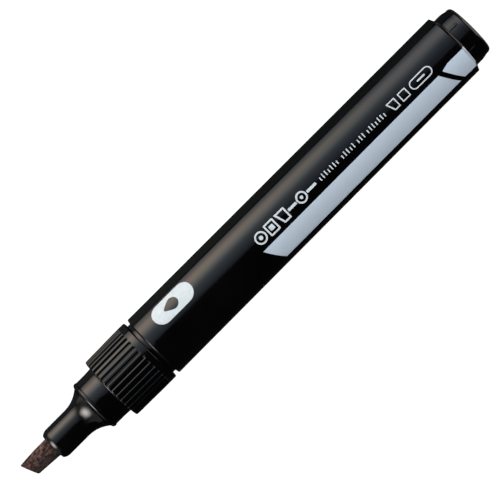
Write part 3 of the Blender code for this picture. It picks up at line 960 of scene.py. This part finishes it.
def make_front_light():
    """Softbox above the nib, brightest in its middle."""
    distance = 0.5
    half_width = 0.3
    half_height = 0.2
    edge_strength = 0.3
    middle_strength = 12.2
    towards_nib = math.radians(-55)
    towards_back = math.radians(-11)
    shape = bmesh.new()
    corners = ((-1, -1), (1, -1), (1, 1), (-1, 1))
    shape.faces.new([shape.verts.new((x * half_width, y * half_height, 0)) for x, y in corners])
    material, tree, glow = glowing_material("front_softbox", 0)
    glow.inputs["Color"].default_value = (1, 0.95, 0.9, 1)
    place_of = split_place(tree)
    levels = [map_range(tree, math_node(tree, "ABSOLUTE", place_of[axis]), (half, 0.0),
                        interpolation="SMOOTHSTEP")
              for axis, half in (("X", half_width), ("Y", half_height))]
    level = math_node(tree, "MULTIPLY", math_node(tree, "MULTIPLY", *levels), fixed=middle_strength)
    tree.links.new(math_node(tree, "ADD", level, fixed=edge_strength), glow.inputs["Strength"])
    panel = finish_mesh(shape, "front_softbox", material)
    direction = Matrix.Rotation(towards_nib, 3, "Y") @ Vector((0, 0, 1))
    direction = Matrix.Rotation(towards_back, 3, "X") @ direction
    panel.location = Vector((-0.05, 0, AXIS_Z)) + direction * distance
    panel.rotation_euler = (-direction).to_track_quat("-Z", "Y").to_euler()
    stage_panel(panel)


def make_top_fill():
    """Soft light from above for the print and the felt, which the plastic doesn't mirror."""
    distance = 0.9
    tilt = math.radians(6)
    light = bpy.data.lights.new("top_fill", "AREA")
    light.shape = "SQUARE"
    light.size = 0.5
    light.energy = 8.0
    fill = bpy.data.objects.new("top_fill", light)
    bpy.context.scene.collection.objects.link(fill)
    fill.location = (0, distance * math.sin(tilt), distance * math.cos(tilt))
    fill.rotation_euler = (-tilt, 0, 0)
    fill.visible_glossy = False


def make_floor():
    """White paper. The camera sees it almost evenly white, with only a faint shadow."""
    floor_mesh = bmesh.new()
    bmesh.ops.create_grid(floor_mesh, x_segments=1, y_segments=1, size=3)
    material, tree, shader = new_material("floor_paper", (0.86, 0.86, 0.86), 0.9)
    grain = add_range(tree, add_noise(tree, 60, 3), 0.0, 1.0)
    tree.links.new(add_mix(tree, grain, (0.85, 0.85, 0.85), (0.87, 0.87, 0.87)), shader.inputs["Base Color"])
    path = tree.nodes.new("ShaderNodeLightPath")
    evenness = math_node(tree, "MULTIPLY", path.outputs["Is Camera Ray"], fixed=0.85)
    glow = tree.nodes.new("ShaderNodeEmission")
    glow.inputs["Strength"].default_value = 1.1
    mix = tree.nodes.new("ShaderNodeMixShader")
    tree.links.new(evenness, mix.inputs["Fac"])
    tree.links.new(shader.outputs["BSDF"], mix.inputs[1])
    tree.links.new(glow.outputs["Emission"], mix.inputs[2])
    tree.links.new(mix.outputs["Shader"], tree.nodes["Material Output"].inputs["Surface"])
    floor = finish_mesh(floor_mesh, "floor", material)
    floor.visible_glossy = False


def make_world():
    """Nearly dark to the marker, pale to the camera."""
    world = bpy.data.worlds.new("studio")
    bpy.context.scene.world = world
    world.use_nodes = True
    tree = world.node_tree
    tree.nodes.clear()
    path = tree.nodes.new("ShaderNodeLightPath")
    dark = tree.nodes.new("ShaderNodeBackground")
    pale = tree.nodes.new("ShaderNodeBackground")
    mix = tree.nodes.new("ShaderNodeMixShader")
    output = tree.nodes.new("ShaderNodeOutputWorld")
    dark.inputs["Color"].default_value = (0.012, 0.012, 0.013, 1)
    pale.inputs["Color"].default_value = (0.95, 0.95, 0.95, 1)
    tree.links.new(path.outputs["Is Camera Ray"], mix.inputs["Fac"])
    tree.links.new(dark.outputs["Background"], mix.inputs[1])
    tree.links.new(pale.outputs["Background"], mix.inputs[2])
    tree.links.new(mix.outputs["Shader"], output.inputs["Surface"])


def make_camera():
    """Straight down on the marker, which runs up to the right across the frame."""
    data = bpy.data.cameras.new("camera")
    data.lens = 250
    data.sensor_width = 36
    camera = bpy.data.objects.new("camera", data)
    bpy.context.scene.collection.objects.link(camera)
    camera.location = (TIP + 69.247 * MM, -0.105 * MM, AXIS_Z + 763.9 * MM)
    camera.rotation_euler = (0, 0, math.radians(-45.095))
    bpy.context.scene.camera = camera


def make_studio():
    centre = (0, 0, AXIS_Z)
    make_side_light(centre)
    make_reflectors(centre)
    make_front_light()
    make_top_fill()
    make_floor()
    make_world()


def main():
    black = plastic_material()
    pieces = [
        (make_barrel(black), "barrel", "barrel", "black_plastic"),
        (make_head(black), "head", "screw_head", "black_plastic"),
        (make_holder(black), "head", "nib_holder", "black_plastic"),
        (make_plug(black), "barrel", "tail_plug", "black_plastic"),
        (make_nib(felt_material()), "head", "nib", "nib_felt"),
    ]
    for piece, body, node, slot in pieces:
        smooth(piece)
        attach(piece, body)
        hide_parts(node)
    inner = {
        "ink_reservoir": ("ink_fibre", (0.02, 0.02, 0.025), 0.88, 3000, (0.1, 1, 1), 0.05 * MM),
        "reservoir_wrap": ("clear_film", (0.72, 0.73, 0.75), 0.3, 400, (0.3, 1, 1), 0.01 * MM),
        "head_gasket": ("gasket_rubber", (0.05, 0.05, 0.05), 0.7, 1800, (1, 1, 1), 0.01 * MM),
    }
    for node, look in inner.items():
        material = inner_material(*look)
        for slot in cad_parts[node].material_slots:
            slot.material = material
    add_print(silver_material(), white_material())
    make_studio()
    make_camera()
    bpy.context.scene.view_settings.view_transform = "Standard"


main()
